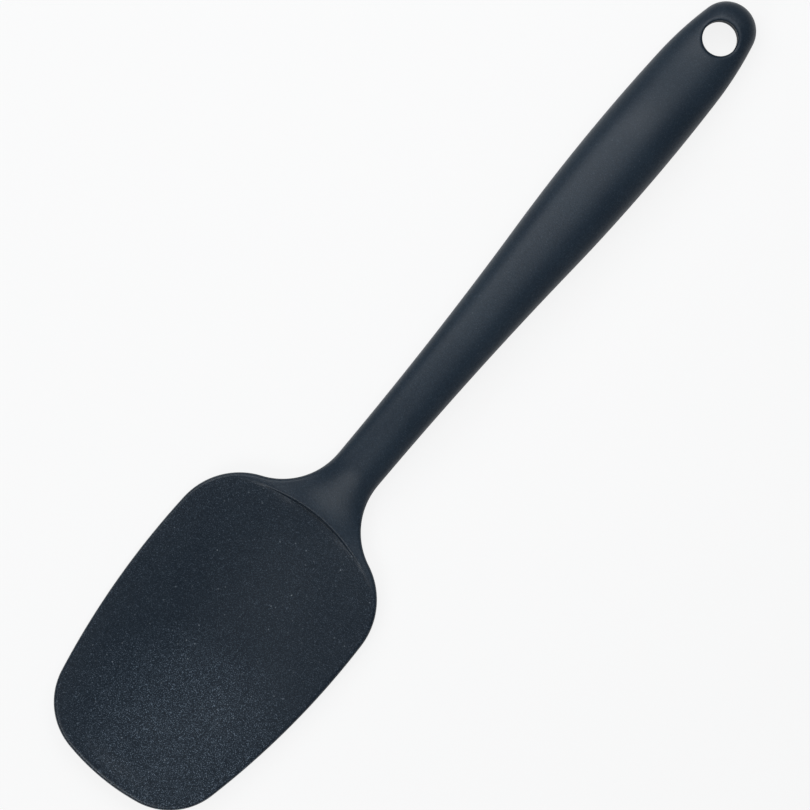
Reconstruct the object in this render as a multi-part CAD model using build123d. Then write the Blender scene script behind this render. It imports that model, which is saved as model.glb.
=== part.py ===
from build123d import *
from math import atan2, cos, hypot, pi, sin, sqrt
import os

# Seamless silicone spatula with a dished, spoon-like blade.
# One silicone moulding covers a stiff nylon core. Millimetres, +Z up, dish face up.
# The long axis is Y: tip at -Y, handle end at +Y. Stations are distances from the tip.
# The backs of the bowl and of the handle end rest on z = 0.

# Plan outline
overall_length = 280.0
blade_width = 65.0
widest_station = 65.0
tip_radius = 65.0
corner_radius = 19.0
side_radius = 234.0
shoulder_radius = 21.0
flare_radius = 20.4
neck_width = 14.2
neck_station = 112.0
grip_width = 22.2
grip_inset = 49.0
grip_side_radius = 580.0
cheek_radius = 100.0
end_radius = 8.3

# Hanging hole
hole_diameter = 10.0
hole_inset = 11.2

# Blade
rim_thickness = 2.0
edge_bevel = 0.6
lip_width = 1.3
dish_depth = 3.4
tip_dish_depth = 1.2
tip_dish_station = 9.0
bowl_thickness = 2.6
bowl_station = 45.0
bow_station = 15.0
bow_rise = 1.3
heel_station = 94.7
heel_radius = 56.0
heel_step = 1.6
heel_dish_depth = 0.9
heel_rise = 0.8
heel_draft_share = 0.5

# Side profile of the neck and the grip
neck_thickness = 8.6
neck_rise = 3.2
arch_reach = 48.0
arch_thickness = 11.6
arch_rise = 5.0
grip_thickness = 16.0
grip_rise = 2.2
eye_thickness = 11.4
end_dome = 1.4
parting_thickness = 1.0

# Nylon core
cover = 1.3
bar_shares = ((0.3, 0.97), (0.7, 0.7), (0.95, 0.3))
eye_lining = 1.2
rail_width = 2.0
web_thickness = 2.4
rib_width = 1.8
pocket_pitch = 17.0
pocket_reach = 36.0
eye_reach = 16.0
lock_slot_width = 3.0
lock_slot_length = 7.0
beam_station = 104.0
spade_station = 80.0
spade_thickness = 1.2
spade_width = 24.0
spade_radius = 24.0
spade_margin = 2.8
spade_height_share = 0.68
anchor_slot_width = 3.2
anchor_slot_length = 5.0
anchor_pitch = 7.0
anchor_station = 88.0

# Reach of the crowned form past the outline that trims it, and height of the solids that trim and cut it
overrun = 0.15
clear_height = 40.0

rim_top = bowl_thickness + dish_depth
rim_middle = rim_top - rim_thickness / 2
floor_station = 2 * lip_width
grip_station = overall_length - grip_inset
hole_station = overall_length - hole_inset
arch_station = neck_station + arch_reach


def centre_between(first, reach_first, second, reach_second, turn):
    """Point at two given distances from two others; turn is 1 or -1 and picks the side."""
    run_x, run_y = second[0] - first[0], second[1] - first[1]
    run = hypot(run_x, run_y)
    along = (reach_first**2 - reach_second**2 + run**2) / (2 * run)
    off = turn * sqrt(reach_first**2 - along**2)
    return first[0] + (along * run_x - off * run_y) / run, first[1] + (along * run_y + off * run_x) / run


def beyond(origin, point, distance):
    """Point further from the origin than a given one, on the same ray, by a distance."""
    run_x, run_y = point[0] - origin[0], point[1] - origin[1]
    run = hypot(run_x, run_y)
    return point[0] + distance * run_x / run, point[1] + distance * run_y / run


# Centres of the outline's arcs on the +X side, as (x, station). Each arc is tangent to the next.
swell = (grip_width - neck_width) / 2
reach = grip_station - neck_station
neck_side_radius = (swell**2 + reach**2) / (2 * swell) - grip_side_radius
tip_centre = (0, tip_radius)
side_centre = (blade_width / 2 - side_radius, widest_station)
flare_centre = (neck_width / 2 + flare_radius, neck_station)
neck_centre = (neck_width / 2 + neck_side_radius, neck_station)
grip_centre = (grip_width / 2 - grip_side_radius, grip_station)
end_centre = (0, overall_length - end_radius)
corner_centre = centre_between(
    tip_centre, tip_radius - corner_radius, side_centre, side_radius - corner_radius, 1
)
shoulder_centre = centre_between(
    side_centre, side_radius - shoulder_radius, flare_centre, shoulder_radius + flare_radius, -1
)
cheek_centre = centre_between(
    end_centre, cheek_radius - end_radius, grip_centre, grip_side_radius - cheek_radius, 1
)

# Where the arcs meet, from the tip to the handle end.
tip_to_corner = beyond(tip_centre, corner_centre, corner_radius)
corner_to_side = beyond(side_centre, corner_centre, corner_radius)
side_to_shoulder = beyond(side_centre, shoulder_centre, shoulder_radius)
shoulder_to_flare = beyond(flare_centre, shoulder_centre, -shoulder_radius)
flare_to_neck = (neck_width / 2, neck_station)
neck_to_grip = beyond(neck_centre, grip_centre, -grip_side_radius)
grip_to_cheek = beyond(grip_centre, cheek_centre, cheek_radius)
cheek_to_end = beyond(cheek_centre, end_centre, end_radius)

# One row for each side arc: where it ends, its centre, its radius, and 1 if convex or -1 if hollow.
side_arcs = [
    (tip_to_corner, tip_centre, tip_radius, 1),
    (corner_to_side, corner_centre, corner_radius, 1),
    (side_to_shoulder, side_centre, side_radius, 1),
    (shoulder_to_flare, shoulder_centre, shoulder_radius, 1),
    (flare_to_neck, flare_centre, flare_radius, -1),
    (neck_to_grip, neck_centre, neck_side_radius, -1),
    (grip_to_cheek, grip_centre, grip_side_radius, 1),
    (cheek_to_end, cheek_centre, cheek_radius, 1),
]


def arc_half_width(station, arc):
    end, centre, radius, bulge = arc
    return centre[0] + bulge * sqrt(max(radius**2 - (station - centre[1]) ** 2, 0))


def half_width(station):
    """Half width along the sides, where the tip's corners and the handle end aren't rounded off."""
    for arc in side_arcs[2:-1]:
        if station <= arc[0][1]:
            return arc_half_width(station, arc)
    return arc_half_width(station, side_arcs[-1])


def lip_half_width(station):
    """Half width of the dish, inside the lip; its shoulders round on inward under the flare."""
    for end, centre, radius, bulge in side_arcs[:4]:
        shrunk = radius - lip_width
        if station <= centre[1] + (end[1] - centre[1]) * shrunk / radius:
            break
    return arc_half_width(station, (end, centre, shrunk, bulge))


def place(x, station, z):
    return (x, station - overall_length / 2, z)


def side_edges(z):
    """Arcs of the +X side, from the tip to the handle end."""
    edges = []
    start = (0, 0)
    for end, centre, radius, bulge in side_arcs:
        chord = ((start[0] + end[0]) / 2, (start[1] + end[1]) / 2)
        middle = beyond(centre, chord, radius - hypot(chord[0] - centre[0], chord[1] - centre[1]))
        edges.append(ThreePointArc(place(*start, z), place(*middle, z), place(*end, z)))
        start = end
    turn = atan2(start[1] - end_centre[1], start[0]) / 2 + pi / 4
    middle = (end_radius * cos(turn), end_centre[1] + end_radius * sin(turn))
    edges.append(ThreePointArc(place(*start, z), place(*middle, z), place(0, overall_length, z)))
    return edges


def outline_face(z):
    """The whole plan outline as a flat face."""
    right = Wire(side_edges(z))
    left = right.mirror(Plane.YZ)
    return Face(Wire([*right.edges(), *left.edges()]))


def through(points):
    """A smooth function through (station, height) points that turns back only at the points."""
    rates = [(h1 - h0) / (s1 - s0) for (s0, h0), (s1, h1) in zip(points, points[1:])]
    slopes = [rates[0]]
    for before, after in zip(rates, rates[1:]):
        slopes.append(2 * before * after / (before + after) if before * after > 0 else 0)
    slopes.append(rates[-1])

    def height_at(station):
        i = sum(station > point[0] for point in points[1:-1])
        (s0, h0), (s1, h1) = points[i], points[i + 1]
        span = s1 - s0
        t = (station - s0) / span
        if t < 0:
            return h0 + slopes[i] * (station - s0)
        if t > 1:
            return h1 + slopes[i + 1] * (station - s1)
        height = h0 * (1 + 2 * t) * (1 - t) ** 2 + h1 * t**2 * (3 - 2 * t)
        return height + span * (slopes[i] * t * (1 - t) ** 2 - slopes[i + 1] * t**2 * (1 - t))

    return height_at


# Side profile: the middle of the rim wall, the crown of the face and the crown of the back.
rim_level = through([
    (0, rim_middle),
    (widest_station, rim_middle),
    (heel_station, rim_middle),
    (neck_station, neck_rise + neck_thickness / 2),
    (arch_station, arch_rise + arch_thickness / 2),
    (grip_station, grip_rise + grip_thickness / 2),
    (hole_station, eye_thickness / 2),
    (overall_length, eye_thickness / 2),
])
face_level = through([
    (0, rim_top),
    (widest_station, rim_top),
    (heel_station, rim_top - heel_dish_depth + heel_step),
    (neck_station, neck_rise + neck_thickness),
    (arch_station, arch_rise + arch_thickness),
    (grip_station, grip_rise + grip_thickness),
    (hole_station, eye_thickness),
    (overall_length, eye_thickness),
])
back_level = through([
    (0, rim_top - rim_thickness),
    (bow_station, bow_rise),
    (bowl_station, 0),
    (widest_station, 0),
    (heel_station, heel_rise),
    (neck_station, neck_rise),
    (arch_station, arch_rise),
    (grip_station, grip_rise),
    (hole_station, 0),
    (overall_length, 0),
])


def end_share(station):
    """Share of its thickness that the handle end keeps: 1 up to the hole, then a dome."""
    past = max(station - hole_station, 0) / (hole_inset + end_dome)
    return sqrt(1 - past**2)


# How full a section is, at the blade and at the neck: how far out and how high its control points are.
face_shares = ((0.72, 0.0, 0.36), (0.97, 0.53, 0.46))
back_shares = ((0.6, 0.667, 0.2), (0.97, 0.53, 0.46))


def neck_share(station):
    """0 at the heel of the blade, rising smoothly to 1 at the neck."""
    grown = (station - heel_station) / (neck_station - heel_station)
    grown = min(max(grown, 0), 1)
    return grown**2 * (3 - 2 * grown)


def crown_edge(station, half, edge_z, crown_z, shares):
    """Crowned line across the object, from -X to +X, as six control points."""
    blend = neck_share(station)
    tail, tail_up, crown = (low + (high - low) * blend for low, high in zip(*shares))
    # The middle of such a curve stands at (10 + 5 * tail_up) / 16 of its control points' height.
    up = (crown_z - edge_z) * 16 / (10 + 5 * tail_up)
    right = [(half, 0), (half * tail, up * tail_up), (half * crown, up)]
    across = [(-x, z) for x, z in right] + right[::-1]
    return Bezier(*(place(x, station, edge_z + z) for x, z in across))


def section(station):
    """Closed section of the moulding, a little wider than the outline that trims it."""
    half = half_width(station) + overrun
    keep = end_share(station)
    middle = rim_level(station)
    rim = (rim_thickness + (parting_thickness - rim_thickness) * neck_share(station)) / 2
    top = middle + max((face_level(station) - middle) * keep, rim)
    bottom = middle - max((middle - back_level(station)) * keep, rim)
    over = crown_edge(station, half, middle + rim, top, face_shares)
    under = crown_edge(station, half, middle - rim, bottom, back_shares)
    right = Line(over @ 1, under @ 1)
    left = Line(under @ 0, over @ 0)
    return Wire([over, right, under, left])


def spread(first, last, count):
    return [first + (last - first) * i / count for i in range(count)]


def form():
    """Crowned form inside the plan outline."""
    stations = (
        spread(-overrun, widest_station, 8)
        + spread(widest_station, shoulder_to_flare[1], 8)
        + spread(shoulder_to_flare[1], neck_station, 6)
        + spread(neck_station, arch_station, 12)
        + spread(arch_station, grip_station, 7)
        + spread(grip_station, hole_station, 5)
        + spread(hole_station, overall_length, 5)
        + [overall_length, overall_length + overrun]
    )
    crowned = Solid.make_loft([section(station) for station in stations])
    return crowned & extrude(outline_face(-overrun), clear_height)


dish_at = through([
    (lip_width, 0),
    (tip_dish_station, tip_dish_depth),
    (bowl_station, dish_depth),
    (heel_station, heel_dish_depth),
])


def floor_edge(station):
    """Hollow line across the dish, which comes up to the lip at both sides."""
    held = min(max(station, floor_station), shoulder_to_flare[1])
    curl = dish_at(held) / lip_half_width(held) ** 2
    half = blade_width / 2 + overrun
    middle_z = rim_top - dish_at(station)
    edge_z = middle_z + curl * half**2
    return Bezier(
        place(-half, station, edge_z), place(0, station, 2 * middle_z - edge_z), place(half, station, edge_z)
    )


def dish():
    """Everything over the dish's floor and on the tip's side of the heel's edge."""
    stations = (
        [-overrun, floor_station, tip_dish_station]
        + spread(tip_dish_station, widest_station, 5)[1:]
        + spread(widest_station, heel_station, 5)
        + [heel_station, neck_station]
    )
    sections = []
    for station in stations:
        floor = floor_edge(station)
        left, right = floor @ 0, floor @ 1
        top_left, top_right = (Vector(end.X, end.Y, clear_height) for end in (left, right))
        sections.append(Wire([floor, Line(right, top_right), Line(top_right, top_left), Line(top_left, left)]))
    heel_cone = Cone(
        heel_radius - heel_draft_share * rim_top,
        heel_radius + heel_draft_share * (clear_height - rim_top),
        clear_height,
        align=(Align.CENTER, Align.CENTER, Align.MIN),
    )
    return Solid.make_loft(sections) & Pos(*place(0, heel_station - heel_radius, 0)) * heel_cone


def bore(station, diameter):
    return Pos(*place(0, station, -overrun)) * Cylinder(
        diameter / 2, clear_height, align=(Align.CENTER, Align.CENTER, Align.MIN)
    )


def moulding():
    """The silicone's outside: crowned form, hanging hole, eased edges and dish with its heel step."""
    body = form() - bore(hole_station, hole_diameter)
    body = chamfer(body.edges().filter_by(Axis.Z, reverse=True), edge_bevel)
    return body - dish()


def slab(width, middle_station, length, middle_z, height):
    """Upright block on the long axis."""
    return Pos(*place(0, middle_station, middle_z)) * Box(width, length, height)


def spade():
    """Thin plate in the blade's heel, bent to lie between the dish and the back."""
    def level(station):
        back = back_level(station)
        face = rim_top - dish_at(station)
        if station > heel_station:
            face = max(face, face_level(station) - cover)
        return back + spade_height_share * (face - back)

    root_station = (beam_station + neck_station) / 2
    rows = [spade_station, (spade_station + heel_station) / 2, heel_station, beam_station, root_station]
    up = Vector(0, 0, spade_thickness / 2)
    middles = [Vector(*place(0, station, level(station))) for station in rows]
    over = Spline(*(middle + up for middle in middles))
    under = Spline(*(middle - up for middle in middles))
    side = Face(Wire([over, Line(over @ 1, under @ 1), under, Line(under @ 0, over @ 0)]))
    plate = extrude(side, spade_width / 2, both=True, dir=(1, 0, 0))
    plan = offset(outline_face(0), -spade_margin).face()
    plate = plate & extrude(plan, clear_height) & bore(spade_station + spade_radius, 2 * spade_radius)
    anchor_slot = slab(anchor_slot_width, anchor_station, anchor_slot_length, 0, clear_height)
    for x in (-anchor_pitch, 0, anchor_pitch):
        plate -= Pos(x, 0, 0) * anchor_slot
    return plate


def bar_section(station):
    """Twelve-sided section of the stiff bar, about the cover below the skin."""
    half = half_width(station) - cover
    middle = rim_level(station)
    keep = end_share(station)
    down = (back_level(station) - middle) * keep + cover
    up = (face_level(station) - middle) * keep - cover
    right = [(x, down * z) for x, z in bar_shares] + [(x, up * z) for x, z in reversed(bar_shares)]
    left = [(-x, z) for x, z in reversed(right)]
    return Wire.make_polygon([place(half * x, station, middle + z) for x, z in right + left])


def beam():
    """Stiff bar through the neck and the grip, with pockets on both faces and an eye at its end."""
    stations = (
        [beam_station]
        + spread(neck_station, arch_station, 2)
        + spread(arch_station, grip_station, 3)
        + spread(grip_station, hole_station, 2)
        + [hole_station, overall_length - cover]
    )
    bar = Solid.make_loft([bar_section(station) for station in stations], ruled=True)
    bar = bar & extrude(offset(outline_face(0), -cover).face(), clear_height)
    first_pocket = neck_station + pocket_reach
    room = hole_station - eye_reach - first_pocket
    pocket_count = int(room / pocket_pitch)
    pocket_length = pocket_pitch - rib_width
    for i in range(pocket_count):
        middle = first_pocket + (i + 0.5) * room / pocket_count
        narrowest = min(half_width(middle - pocket_length / 2), half_width(middle + pocket_length / 2))
        width = 2 * (narrowest - cover - rail_width)
        web_z = rim_level(middle)
        pocket = slab(width, middle, pocket_length, web_z, clear_height)
        pocket -= slab(width, middle, pocket_length, web_z, web_thickness)
        bar = bar - pocket - slab(lock_slot_width, middle, lock_slot_length, web_z, clear_height)
    return bar - bore(hole_station, hole_diameter + 2 * eye_lining)


nylon_core = beam() + spade()
silicone_body = moulding() - nylon_core

parts = {"silicone_body": silicone_body, "nylon_core": nylon_core}
os.makedirs("parts", exist_ok=True)
for name, solid in parts.items():
    solid.label = name
    export_step(solid, f"parts/{name}.step")
    print(name, solid.is_valid, len(solid.solids()), round(solid.volume, 1))
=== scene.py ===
from math import atan2, ceil, cos, hypot, pi, radians, sin, sqrt

import bpy
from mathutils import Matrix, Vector
from mathutils.geometry import delaunay_2d_cdt


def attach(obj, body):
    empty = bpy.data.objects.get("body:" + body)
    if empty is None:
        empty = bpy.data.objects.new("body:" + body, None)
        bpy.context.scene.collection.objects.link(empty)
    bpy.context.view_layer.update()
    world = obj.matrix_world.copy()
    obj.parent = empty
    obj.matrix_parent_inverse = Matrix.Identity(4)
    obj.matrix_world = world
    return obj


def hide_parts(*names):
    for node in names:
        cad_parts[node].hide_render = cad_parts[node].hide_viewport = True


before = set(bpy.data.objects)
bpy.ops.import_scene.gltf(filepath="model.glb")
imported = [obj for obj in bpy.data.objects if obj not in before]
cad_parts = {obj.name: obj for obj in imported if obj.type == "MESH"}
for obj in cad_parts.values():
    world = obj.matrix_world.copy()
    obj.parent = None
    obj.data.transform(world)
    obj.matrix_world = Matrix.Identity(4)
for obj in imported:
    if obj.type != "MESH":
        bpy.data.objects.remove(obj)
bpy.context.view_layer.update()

# Silicone body.
# The whole outside of the spatula is one compression-moulded piece of dark blue-charcoal silicone:
# dished blade, thin shoulders, slim neck, rounded grip and the lining of the hanging hole.
# Sizes are millimetres. A station is a distance from the blade's tip along the spatula.
mm = 0.001
overall_length = 280.0

# Plan outline: circular arcs from the tip to the handle end, each tangent to the next.
blade_width = 65.0
widest_station = 65.0
tip_radius = 65.0
corner_radius = 19.0
side_radius = 234.0
shoulder_radius = 21.0
flare_radius = 20.4
neck_width = 14.2
neck_station = 112.0
grip_width = 22.2
grip_station = 231.0
grip_side_radius = 580.0
cheek_radius = 100.0
end_radius = 8.3
hole_radius = 5.0
hole_station = 268.8
hole_round = 1.0

# Rim, dish and heel of the blade.
rim_top = 6.0
rim_thickness = 2.0
rim_round = 0.95
parting_thickness = 1.0
parting_flash = 0.07
lip_width = 1.3
lip_softness = 0.25
dish_fullness = 0.35
heel_station = 94.7
heel_radius = 56.0
heel_wall = 0.5
heel_round = 0.5
heel_fullness = 2.5


def between(first, reach_first, second, reach_second, turn):
    """Point at given distances from two points; turn is 1 or -1 and picks the side."""
    run_x, run_y = second[0] - first[0], second[1] - first[1]
    run = hypot(run_x, run_y)
    along = (reach_first**2 - reach_second**2 + run**2) / (2 * run)
    off = turn * sqrt(reach_first**2 - along**2)
    x = first[0] + (along * run_x - off * run_y) / run
    station = first[1] + (along * run_y + off * run_x) / run
    return x, station


def beyond(origin, point, distance):
    """Point further from the origin than a given one, on the same ray, by a distance."""
    run = hypot(point[0] - origin[0], point[1] - origin[1])
    return tuple(p + distance * (p - o) / run for o, p in zip(origin, point))


swell = (grip_width - neck_width) / 2
reach = grip_station - neck_station
neck_side_radius = (swell**2 + reach**2) / (2 * swell) - grip_side_radius
tip = (0, tip_radius)
side = (blade_width / 2 - side_radius, widest_station)
flare = (neck_width / 2 + flare_radius, neck_station)
neck = (neck_width / 2 + neck_side_radius, neck_station)
grip = (grip_width / 2 - grip_side_radius, grip_station)
end = (0, overall_length - end_radius)
corner = between(tip, tip_radius - corner_radius, side, side_radius - corner_radius, 1)
shoulder = between(side, side_radius - shoulder_radius, flare, shoulder_radius + flare_radius, -1)
cheek = between(end, cheek_radius - end_radius, grip, grip_side_radius - cheek_radius, 1)
flare_start = beyond(flare, shoulder, -shoulder_radius)

# One row for each arc of the +X side: where it ends, its centre, its radius, and 1 if it bulges outwards
# or -1 if it is hollow.
rows = [
    (beyond(tip, corner, corner_radius), tip, tip_radius, 1),
    (beyond(side, corner, corner_radius), corner, corner_radius, 1),
    (beyond(side, shoulder, shoulder_radius), side, side_radius, 1),
    (flare_start, shoulder, shoulder_radius, 1),
    ((neck_width / 2, neck_station), flare, flare_radius, -1),
    (beyond(neck, grip, -grip_side_radius), neck, neck_side_radius, -1),
    (beyond(grip, cheek, cheek_radius), grip, grip_side_radius, 1),
    (beyond(cheek, end, end_radius), cheek, cheek_radius, 1),
    ((0, overall_length), end, end_radius, 1),
]


def bearing(centre, bulge, x, station):
    """Angle of a point round an arc's centre, turned half way round for a hollow arc."""
    return atan2(bulge * (station - centre[1]), bulge * (x - centre[0]))


arcs = []
start = (0, 0)
for finish, centre, radius, bulge in rows:
    first, last = bearing(centre, bulge, *start), bearing(centre, bulge, *finish)
    arcs.append((centre, radius, bulge, first, last))
    start = finish


def half_width(station):
    """Half width at a station, as if the tip's corners and the handle end weren't rounded off."""
    for finish, centre, radius, bulge in rows[2:-1]:
        if station <= finish[1]:
            break
    return centre[0] + bulge * sqrt(max(radius**2 - (station - centre[1]) ** 2, 0))


def lip_half_width(station):
    """Half width of the dish inside its lip."""
    for finish, centre, radius, bulge in rows[:4]:
        shrunk = radius - lip_width
        if station <= centre[1] + (finish[1] - centre[1]) * shrunk / radius:
            break
    return centre[0] + sqrt(max(shrunk**2 - (station - centre[1]) ** 2, 0))


def rim_inset(x, station):
    """How far inside the outline a point lies."""
    inset = overall_length
    for centre, radius, bulge, first, last in arcs:
        if min(first, last) <= bearing(centre, bulge, abs(x), station) <= max(first, last):
            inset = min(inset, bulge * (radius - hypot(abs(x) - centre[0], station - centre[1])))
    return inset


def through(points):
    """A smooth function through (station, height) points that turns back only at the points."""
    rates = [(h1 - h0) / (s1 - s0) for (s0, h0), (s1, h1) in zip(points, points[1:])]
    slopes = [rates[0]]
    for before, after in zip(rates, rates[1:]):
        slopes.append(2 * before * after / (before + after) if before * after > 0 else 0)
    slopes.append(rates[-1])

    def height_at(station):
        i = sum(station > point[0] for point in points[1:-1])
        (s0, h0), (s1, h1) = points[i], points[i + 1]
        span = s1 - s0
        t = min(max((station - s0) / span, 0), 1)
        height = h0 * (1 + 2 * t) * (1 - t) ** 2 + h1 * t**2 * (3 - 2 * t)
        return height + span * (slopes[i] * t * (1 - t) ** 2 - slopes[i + 1] * t**2 * (1 - t))

    return height_at


# Side profile, as (station, height) points: middle of the rim, crown of the face, crown of the back, and
# depth of the dish below the rim's top.
rim_middle = rim_top - rim_thickness / 2
rim_level = through([
    (0, rim_middle), (widest_station, rim_middle), (heel_station, rim_middle), (neck_station, 7.5),
    (160, 10.8), (grip_station, 10.2), (hole_station, 5.7), (overall_length, 5.7),
])
face_level = through([
    (0, rim_top), (widest_station, rim_top), (heel_station, 6.7), (neck_station, 11.8),
    (160, 16.6), (grip_station, 18.2), (hole_station, 11.4), (overall_length, 11.4),
])
back_level = through([
    (0, 4.0), (15, 1.3), (45, 0), (widest_station, 0), (heel_station, 0.8), (neck_station, 3.2),
    (160, 5.0), (grip_station, 2.2), (hole_station, 0), (overall_length, 0),
])
dish_at = through([(lip_width, 0), (9, 1.2), (45, 3.4), (heel_station, 0.9)])

# Fullness of a section at the blade and at the neck. Each triple places the points of its curve: how far
# out and how high the outer one is, and how far out the inner one is.
face_shares = ((0.72, 0.0, 0.36), (0.97, 0.53, 0.46))
back_shares = ((0.6, 0.667, 0.2), (0.97, 0.53, 0.46))
halvings = 22


def eased(share):
    """0 to 1 with a level start and end."""
    share = min(max(share, 0), 1)
    return share**2 * (3 - 2 * share)


def rounded(distance, radius):
    """Height share of a rounded edge at a distance from it: 0 at the edge, 1 past the rounding."""
    left = 1 - min(max(distance / radius, 0), 1)
    return sqrt(1 - left**2)


def crown(out, blend, shares):
    """Height share of a crowned section at a share of the way out from the axis to the rim.

    The section is a Bezier curve of degree five, the same on both sides of the axis. Halving finds the
    place on it that lies as far out, and the result is 1 on the axis.
    """
    tail, tail_up, full = (low + (high - low) * blend for low, high in zip(*shares))
    near, far = 0.5, 1.0
    for _ in range(halvings):
        t = (near + far) / 2
        s = 1 - t
        x = t**5 - s**5 + 5 * tail * t * s * (t**3 - s**3) + 10 * full * t**2 * s**2 * (t - s)
        if x < out:
            near = t
        else:
            far = t
    up = 5 * tail_up * t * s * (t**3 + s**3) + 10 * t**2 * s**2
    return up * 16 / (10 + 5 * tail_up)


def way_out(x, station, inset):
    """Share of the way from the axis to the rim; past the grip the handle end rounds it off too."""
    if station < grip_station:
        return min(abs(x) / half_width(station), 1)
    return 1 - inset / rim_inset(0, min(station, end[1]))


def past_hole_edge(x, station):
    """Distance outside the wall of the hanging hole."""
    return hypot(x, station - hole_station) - hole_radius


def hole_drop(x, station):
    """How far the rounded mouth of the hanging hole lies below the face, or above the back."""
    return hole_round * (1 - rounded(past_hole_edge(x, station), hole_round))


def past_heel_line(x, station):
    """Distance from the heel's arc, positive towards the handle."""
    return hypot(x, station - heel_station + heel_radius) - heel_radius


def swell_from_rim(x, station, crown_reach, shares):
    """How far a face rises from the middle of the rim, where its crown rises by a given reach."""
    inset = rim_inset(x, station)
    blend = eased((station - heel_station) / (neck_station - heel_station))
    rim = (rim_thickness + (parting_thickness - rim_thickness) * blend) / 2
    full = max(crown_reach, rim) - rim
    return rim * rounded(inset, rim_round) + full * crown(way_out(x, station, inset), blend, shares)


def face_height(x, station):
    """Height of the front: the crowned form, hollowed by the dish as far as the heel step."""
    middle = rim_level(station)
    form = middle + swell_from_rim(x, station, face_level(station) - middle, face_shares)
    past_heel = past_heel_line(x, station)
    if past_heel > heel_round:
        return form - hole_drop(x, station)
    # Near the tip and past the shoulders the dish keeps the width that it has beside them.
    held = min(max(station, 2 * lip_width), flare_start[1])
    out = abs(x) / lip_half_width(held)
    bowl = dish_fullness * out**2 + (1 - dish_fullness) * (1 - cos(pi * min(out, 1))) / 2
    floor = rim_top - dish_at(station) + dish_at(held) * bowl
    # The lower of the form and the floor, with a soft bend where they cross.
    inner = (form + floor - sqrt((form - floor) ** 2 + lip_softness**2)) / 2
    climb = min(max((past_heel + heel_wall) / (heel_wall + heel_round), 0), 1)
    return inner + (form - inner) * (1 - (1 - climb) ** heel_fullness)


def back_height(x, station):
    """Height of the back, which is crowned all along."""
    middle = rim_level(station)
    form = middle - swell_from_rim(x, station, middle - back_level(station), back_shares)
    return form + hole_drop(x, station)


# Plan of the mesh: rings that follow the rim and the hole, lines that follow the heel, and an even
# lattice between them. Rings and lines are distances inside the outline, outside the hole's wall and past
# the heel's arc. Each plan point gives one point on the face and one on the back, apart from the outermost
# ring, which the two share.
outline_step = 0.7
lattice_step = 0.8
heel_step = 0.6
weld_distance = 1e-5
round_angles = [radians(angle) for angle in (0, 14, 28, 42, 56, 72, 90)]
rim_rings = [-parting_flash] + [rim_round * (1 - cos(angle)) for angle in round_angles[1:]]
rim_rings += [1.3, 1.75, 2.3]
hole_rings = [hole_round * (1 - cos(angle)) for angle in round_angles] + [1.25]
hole_count = 96
wall_count = 6
heel_lines = [-1.3, -0.9, -0.65, -0.5, -0.4, -0.3, -0.2, -0.1, 0.0, 0.12, 0.25, 0.4, 0.55, 0.8, 1.2]

plan = []
for inset in rim_rings:
    right = []
    for centre, radius, bulge, first, last in arcs:
        count = ceil(radius * abs(last - first) / outline_step)
        for i in range(count):
            angle = first + (last - first) * i / count
            bow = bulge * (radius - bulge * inset)
            right.append((centre[0] + bow * cos(angle), centre[1] + bow * sin(angle)))
    right[0] = (0.0, inset)
    plan += right + [(0.0, overall_length - inset)] + [(-x, station) for x, station in right[:0:-1]]
ring_count = 2 * len(right)
hole_start = len(plan)
for grown in hole_rings:
    for i in range(hole_count):
        angle = 2 * pi * i / hole_count
        spot = hole_radius + grown
        plan.append((spot * cos(angle), hole_station + spot * sin(angle)))
fill_start = len(plan)
heel_count = round(heel_radius / heel_step)
for offset in heel_lines:
    for i in range(-heel_count, heel_count + 1):
        angle = i * heel_step / heel_radius
        x = (heel_radius + offset) * sin(angle)
        station = heel_station - heel_radius + (heel_radius + offset) * cos(angle)
        if rim_inset(x, station) > rim_rings[-1] + heel_step / 2:
            plan.append((x, station))
row_step = lattice_step * sqrt(3) / 2
margin = lattice_step / 2
for row in range(1, int(overall_length / row_step)):
    for column in range(-int(blade_width / 2), int(blade_width / 2) + 1):
        x = lattice_step * (column + (row % 2) / 2)
        station = row * row_step
        past_heel = past_heel_line(x, station)
        near_heel = min(heel_lines) - margin < past_heel < max(heel_lines) + margin
        near_hole = past_hole_edge(x, station) <= hole_rings[-1] + margin
        if not near_heel and not near_hole and rim_inset(x, station) > rim_rings[-1] + margin:
            plan.append((x, station))

# The innermost rings and all within them are joined into triangles. Those that would fill the hole or bridge
# a hollow of the outline are left out.
inner_ring = [ring_count * (len(rim_rings) - 1) + i for i in range(ring_count)]
hole_ring = [hole_start + hole_count * (len(hole_rings) - 1) + i for i in range(hole_count)]
filled = inner_ring + hole_ring + list(range(fill_start, len(plan)))
borders = [(i, (i + 1) % ring_count) for i in range(ring_count)]
borders += [(ring_count + i, ring_count + (i + 1) % hole_count) for i in range(hole_count)]
found = delaunay_2d_cdt([Vector(plan[i]) for i in filled], borders, [], 0, weld_distance)
found_faces, found_points = found[2], found[3]
fill_faces = []
for face in found_faces:
    corners = [filled[found_points[i][0]] for i in face]
    x, station = (sum(plan[i][k] for i in corners) / 3 for k in (0, 1))
    if past_hole_edge(x, station) > hole_rings[-1] and rim_inset(x, station) > rim_rings[-1]:
        fill_faces.append(corners)

for ring in range(len(rim_rings) - 1):
    for i in range(ring_count):
        a, b = ring * ring_count + i, ring * ring_count + (i + 1) % ring_count
        fill_faces.append([a, b, b + ring_count, a + ring_count])
for ring in range(len(hole_rings) - 1):
    for i in range(hole_count):
        a, b = (hole_start + ring * hole_count + k for k in (i, (i + 1) % hole_count))
        fill_faces.append([a + hole_count, b + hole_count, b, a])

points = [(x, station, face_height(x, station)) for x, station in plan]
back_start = len(points) - ring_count
points += [(x, station, back_height(x, station)) for x, station in plan[ring_count:]]
faces = list(fill_faces)
for face in fill_faces:
    faces.append([i if i < ring_count else i + back_start for i in reversed(face)])

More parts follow.
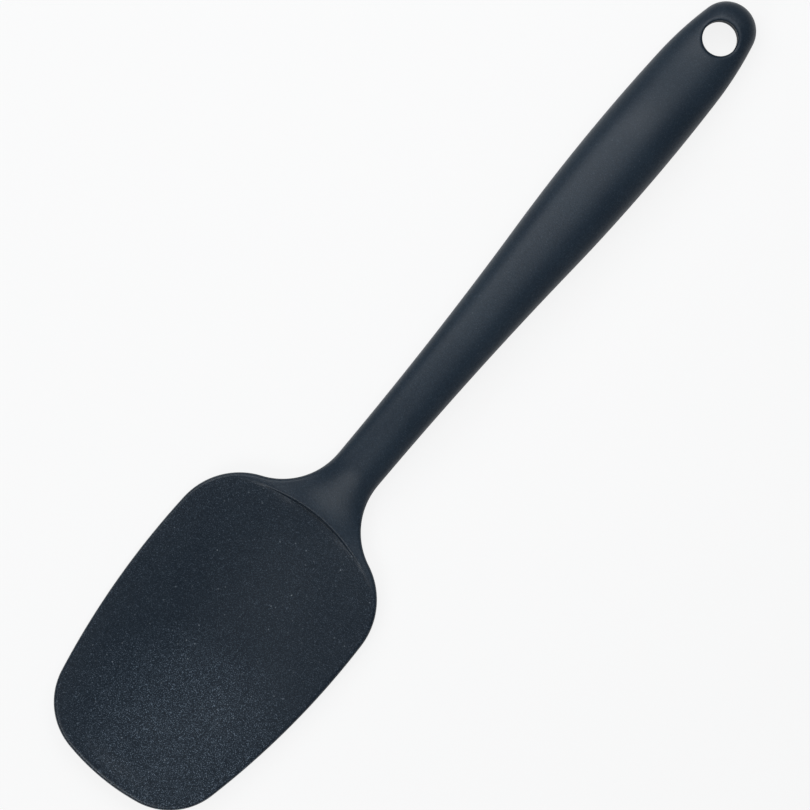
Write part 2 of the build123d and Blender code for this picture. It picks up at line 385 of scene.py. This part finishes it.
# The hole's wall, from its face rim down to its back rim.
upper = [hole_start + i for i in range(hole_count)]
for level in range(1, wall_count + 1):
    if level == wall_count:
        lower = [hole_start + back_start + i for i in range(hole_count)]
    else:
        lower = [len(points) + i for i in range(hole_count)]
        for i in range(hole_count):
            top, bottom = points[hole_start + i], points[hole_start + back_start + i]
            z = top[2] + (bottom[2] - top[2]) * level / wall_count
            points.append((top[0], top[1], z))
    for i in range(hole_count):
        j = (i + 1) % hole_count
        faces.append([upper[i], upper[j], lower[j], lower[i]])
    upper = lower

mesh = bpy.data.meshes.new("silicone_moulding")
mesh.from_pydata([(x * mm, (y - overall_length / 2) * mm, z * mm) for x, y, z in points], [], faces)
mesh.shade_smooth()
mesh.validate()
silicone = bpy.data.objects.new("silicone_moulding", mesh)
bpy.context.scene.collection.objects.link(silicone)


class Value:
    """A node's output. Plain operators on it add Math nodes."""

    def __init__(self, shading, socket):
        self.shading, self.socket = shading, socket

    def math(self, operation, *values):
        return self.shading.node("ShaderNodeMath", {"operation": operation}, values)

    def __add__(self, other):
        return self.math("ADD", self, other)

    def __sub__(self, other):
        return self.math("SUBTRACT", self, other)

    def __rsub__(self, other):
        return self.math("SUBTRACT", other, self)

    def __mul__(self, other):
        return self.math("MULTIPLY", self, other)

    __radd__, __rmul__ = __add__, __mul__


class Shading:
    """The nodes of a material or a world. Each call adds one and returns its output."""

    def __init__(self, owner):
        owner.use_nodes = True
        self.tree = owner.node_tree
        self.tree.nodes.clear()

    def node(self, kind, settings=None, sockets=(), output=0):
        """Adds a node: its settings first, then the values or links of its sockets, by name or in order."""
        node = self.tree.nodes.new(kind)
        for name, setting in (settings or {}).items():
            setattr(node, name, setting)
        for name, value in sockets.items() if isinstance(sockets, dict) else enumerate(sockets):
            if isinstance(value, Value):
                self.tree.links.new(value.socket, node.inputs[name])
            else:
                node.inputs[name].default_value = value
        return Value(self, node.outputs[output]) if node.outputs else None

    def soft_step(self, value, low, high):
        """0 below the low value, 1 above the high one, smooth between."""
        sockets = {"Value": value, "From Min": low, "From Max": high}
        return self.node("ShaderNodeMapRange", {"interpolation_type": "SMOOTHSTEP"}, sockets)

    def noise(self, place, size, detail, roughness=0.5):
        """Noise from 0 to 1 with features of a given size in metres."""
        sockets = {"Vector": place, "Scale": 1 / size, "Detail": detail, "Roughness": roughness}
        return self.node("ShaderNodeTexNoise", sockets=sockets)

    def mix_colour(self, factor, first, second):
        """Blend of two colours, each a plain RGB value or a link.

        A Mix node takes colours at its sockets 6 and 7, and gives one at its output 2.
        """
        colours = [c if isinstance(c, Value) else (*c, 1) for c in (first, second)]
        sockets = {0: factor, 6: colours[0], 7: colours[1]}
        return self.node("ShaderNodeMix", {"data_type": "RGBA"}, sockets, output=2)


# The silicone is very dark blue, with the fine eroded grain of its mould, tiny pale specks, and pale
# painted glints that stand in for light caught by its surface. The blade's side of the heel step is painted
# darker as a painted shade, and the painted glints, a painted highlight, are densest low on its middle.
# Sizes and places of the texture are metres, as in the mesh.
tone_size = 0.018
patch_size = 0.018
grain_size = 0.00045
# Painted glints, pale colour that stands in for light caught by the surface, have features of this size.
painted_glint_size = 0.00024
speck_pitch = 0.0012
# The painted glints, a painted highlight, are densest round this place low on the blade.
bowl_x, bowl_y, bowl_reach = 0.009, -0.118, 0.036
heel_y = (heel_station - heel_radius - overall_length / 2) * mm
heel_arc = heel_radius * mm
heel_blend = 0.0015
deep_blue, slate_blue = (0.0075, 0.0178, 0.0315), (0.0105, 0.0228, 0.038)
# Colour of the grain's troughs, and of the painted shade that darkens the whole blade.
grain_and_shade_blue = (0.003, 0.009, 0.017)
# Colour of the painted glints, a painted highlight.
painted_glint_blue = (0.16, 0.21, 0.27)
speck_grey = (0.2, 0.235, 0.27)

material = bpy.data.materials.new("silicone_skin")
skin = Shading(material)
place = skin.node("ShaderNodeTexCoord", output="Object")
across = skin.node("ShaderNodeSeparateXYZ", sockets=[place], output="X")
along = skin.node("ShaderNodeSeparateXYZ", sockets=[place], output="Y")
away_x, away_y = (across - bowl_x) * (1 / bowl_reach), (along - bowl_y) * (1 / bowl_reach)
near_bowl = 1 - skin.soft_step(away_x * away_x + away_y * away_y, 0.0, 1.0)
past_heel = across * across + (along - heel_y) * (along - heel_y)
on_blade = 1 - skin.soft_step(past_heel, (heel_arc - heel_blend) ** 2, (heel_arc + heel_blend) ** 2)

# Painted glints, pale colour that stands in for light caught by the surface, are the peaks of a fine noise.
# A speck is the middle of about one cell in ten, and the specks are paler in some patches than in others.
tone = skin.noise(place, tone_size, detail=3)
grain = skin.noise(place, grain_size, detail=2, roughness=0.6)
painted_glint = skin.soft_step(skin.noise(place, painted_glint_size, detail=1), 0.55, 0.72)
painted_glint_share = 0.12 + 0.2 * on_blade + 0.66 * near_bowl
patch = skin.soft_step(skin.noise(place, patch_size, detail=2), 0.35, 0.75)
cells = {"Vector": place, "Scale": 1 / speck_pitch, "Randomness": 1.0}
cell_away = skin.node("ShaderNodeTexVoronoi", sockets=cells)
cell_colour = skin.node("ShaderNodeTexVoronoi", sockets=cells, output="Color")
cell_draw = skin.node("ShaderNodeSeparateColor", sockets=[cell_colour])
speck = skin.soft_step(cell_draw, 0.82, 1.0) * (1 - skin.soft_step(cell_away, 0.08, 0.25))
speck_share = (0.3 + 0.7 * patch) * (0.15 + 0.85 * on_blade)

grain_depth = 0.0001
colour = skin.mix_colour(skin.soft_step(tone, 0.3, 0.7), deep_blue, slate_blue)
# Darker in the grain's troughs, and darker over the whole blade as a painted shade.
grain_and_blade_shade = skin.soft_step(grain, 0.62, 0.34) * 0.5 + 0.6 * on_blade
colour = skin.mix_colour(grain_and_blade_shade, colour, grain_and_shade_blue)
# Painted glints: pale colour mixed in as a painted highlight, densest near the bowl and on the blade.
colour = skin.mix_colour(painted_glint * painted_glint_share, colour, painted_glint_blue)
colour = skin.mix_colour(speck * speck_share, colour, speck_grey)
bump = skin.node("ShaderNodeBump", sockets={"Strength": 0.5, "Distance": grain_depth, "Height": grain})
shader = skin.node("ShaderNodeBsdfPrincipled", sockets={
    "Base Color": colour,
    "Roughness": 0.34 - 0.1 * on_blade + 0.1 * tone + 0.1 * grain,
    "IOR": 1.41,
    "Normal": bump,
    "Sheen Weight": 0.08,
    "Sheen Roughness": 0.4,
})
skin.node("ShaderNodeOutputMaterial", sockets={"Surface": shader})
mesh.materials.append(material)
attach(silicone, "root")
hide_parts("silicone_body")

# Nylon core.
# The stiff insert of black glass-filled nylon keeps its solid from the frame and lies wholly inside the
# silicone. Its skin shows the short pale glass fibres of such nylon, lying mostly along the bar, in a dull
# black resin.
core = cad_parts["nylon_core"]
fibre_length = 0.0012
fibre_width = 0.00015
fibre_scale = (1 / fibre_width, 1 / fibre_length, 1 / fibre_width)
fibre_depth = 0.0001
tone_size = 0.008
resin_black, resin_grey, fibre_grey = (0.008, 0.008, 0.009), (0.014, 0.014, 0.016), (0.06, 0.06, 0.062)
material = bpy.data.materials.new("glass_filled_nylon")
resin = Shading(material)
place = resin.node("ShaderNodeTexCoord", output="Object")
stretched = resin.node("ShaderNodeMapping", sockets={"Vector": place, "Scale": fibre_scale})
fibres = resin.node("ShaderNodeTexNoise", sockets={"Vector": stretched, "Scale": 1.0, "Detail": 1.0})
tone = resin.noise(place, tone_size, detail=3)
colour = resin.mix_colour(tone, resin_black, resin_grey)
colour = resin.mix_colour(resin.soft_step(fibres, 0.6, 0.72) * 0.5, colour, fibre_grey)
bump = resin.node("ShaderNodeBump", sockets={"Strength": 0.3, "Distance": fibre_depth, "Height": fibres})
shader = resin.node("ShaderNodeBsdfPrincipled", sockets={
    "Base Color": colour, "Roughness": 0.45 + 0.25 * fibres, "IOR": 1.53, "Normal": bump
})
resin.node("ShaderNodeOutputMaterial", sockets={"Surface": shader})
for slot in core.material_slots:
    slot.material = material

# Floor and surroundings.
# A white sweep with soft light: white to the camera, with the object's own faint shadow kept on it.
floor_size = 8
floor_glow = 0.85
sky_fill = 0.14
bpy.ops.mesh.primitive_plane_add(size=floor_size)
floor = bpy.context.object
floor.name = "floor"
material = bpy.data.materials.new("white_paper")
paper = Shading(material)
seen = paper.node("ShaderNodeLightPath", output="Is Camera Ray")
white = paper.node("ShaderNodeEmission", sockets={"Color": (1, 1, 1, 1), "Strength": 1.0})
matt = paper.node("ShaderNodeBsdfDiffuse", sockets={"Color": (0.8, 0.8, 0.8, 1)})
both = paper.node("ShaderNodeMixShader", sockets=[seen * floor_glow, matt, white])
paper.node("ShaderNodeOutputMaterial", sockets={"Surface": both})
floor.data.materials.append(material)

world = bpy.data.worlds.new("studio")
bpy.context.scene.world = world
sky = Shading(world)
seen = sky.node("ShaderNodeLightPath", output="Is Camera Ray")
glow = sky.node("ShaderNodeBackground", sockets={"Strength": sky_fill + (1 - sky_fill) * seen})
sky.node("ShaderNodeOutputWorld", sockets={"Surface": glow})

# Soft lights, all aimed at the object's middle. Each row: name, bearing from +X towards +Y and height in
# degrees, distance in metres, and power in watts.
light_width = 0.3
light_tint = (0.94, 0.97, 1.0)
for name, turn, tilt, distance, power in [
    ("main_softbox", 172, 46, 0.6, 0.85),
    ("main_softbox_end", 135, 45, 0.6, 0.45),
    ("crest_softbox", 106, 65, 0.4, 0.62),
    ("far_fill", 90, 40, 0.6, 0.12),
    ("near_fill", 268, 47, 0.6, 1.1),
    ("side_fill", 350, 25, 0.6, 0.1),
]:
    turn, tilt = radians(turn), radians(tilt)
    spot = distance * Vector((cos(turn) * cos(tilt), sin(turn) * cos(tilt), sin(tilt)))
    lamp = bpy.data.lights.new(name, "AREA")
    lamp.size = light_width
    lamp.energy = power
    lamp.color = light_tint
    light = bpy.data.objects.new(name, lamp)
    light.location = spot
    light.rotation_euler = (-spot).to_track_quat("-Z", "Y").to_euler()
    bpy.context.scene.collection.objects.link(light)

# Camera, straight above the object and turned as in the photograph. The view's width is taken at the rim.
view_width = 0.22605
view_centre = (-0.00155, -0.00586)
view_turn = radians(40.03)
rim_height = 0.006
lens_length = 300
far_clip = 10
camera = bpy.data.objects.new("camera", bpy.data.cameras.new("camera"))
camera.data.lens = lens_length
camera_height = view_width * lens_length / camera.data.sensor_width
camera.location = (*view_centre, rim_height + camera_height)
camera.rotation_euler = (0, 0, view_turn)
camera.data.clip_end = far_clip
bpy.context.scene.collection.objects.link(camera)
bpy.context.scene.camera = camera
bpy.context.scene.view_settings.view_transform = "Standard"
